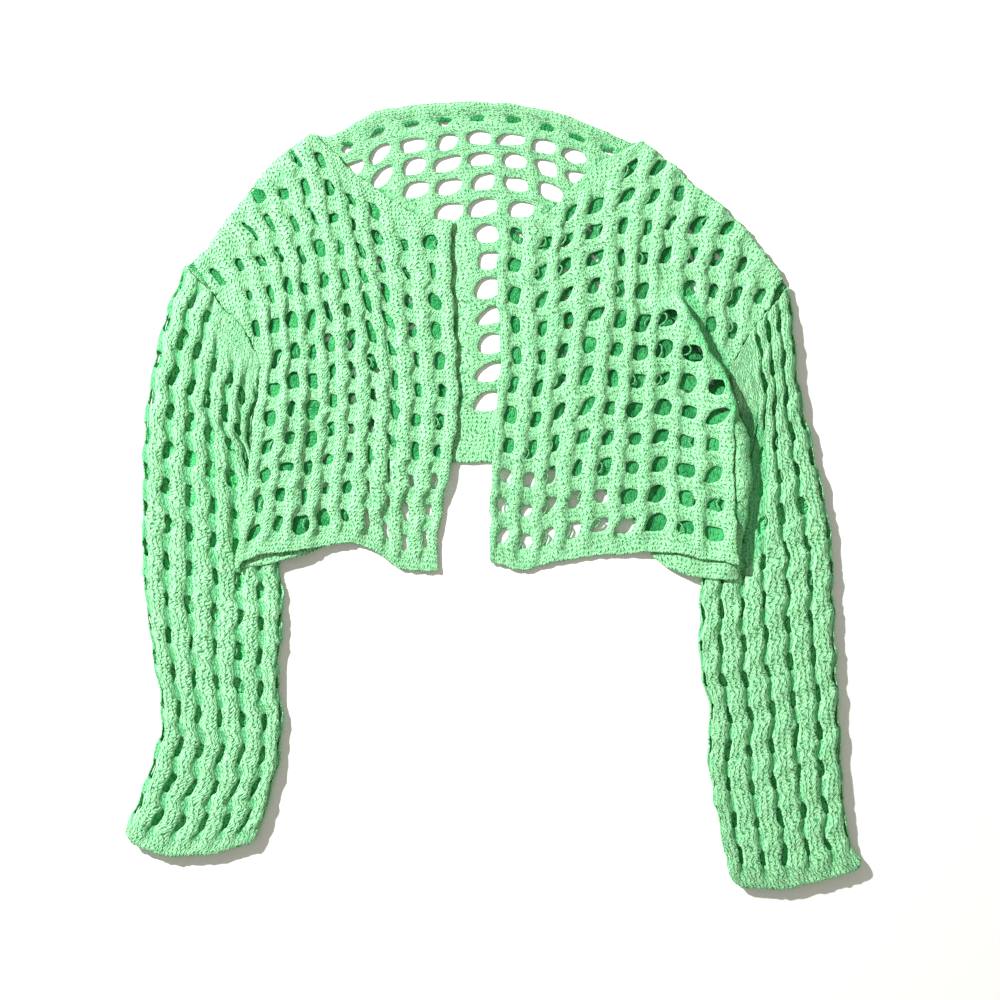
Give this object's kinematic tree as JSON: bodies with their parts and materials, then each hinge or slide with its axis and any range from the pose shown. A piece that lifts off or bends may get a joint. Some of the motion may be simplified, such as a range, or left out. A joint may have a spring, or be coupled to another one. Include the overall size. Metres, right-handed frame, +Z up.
{
  "type": "cardigan",
  "caption": "Cropped open-front cardigan in an open mesh knit with long drop-shoulder sleeves, laid flat on a surface with its front side up",
  "frame": {"origin": "on the surface that the garment lies on, under the middle of its outline", "axes": "+Z is up, away from the surface; +Y runs from the cuffs to the neck; +X is to the wearer's left"},
  "size_m": [0.735, 0.7882, 0.015],
  "materials": {
    "mint_knit": "matt cotton yarn in an open mesh knit, mint green"
  },
  "bodies": {
    "root": {"back": "mint_knit", "right_front": "mint_knit", "left_front": "mint_knit", "right_sleeve": "mint_knit", "left_sleeve": "mint_knit"}
  },
  "joints": []
}
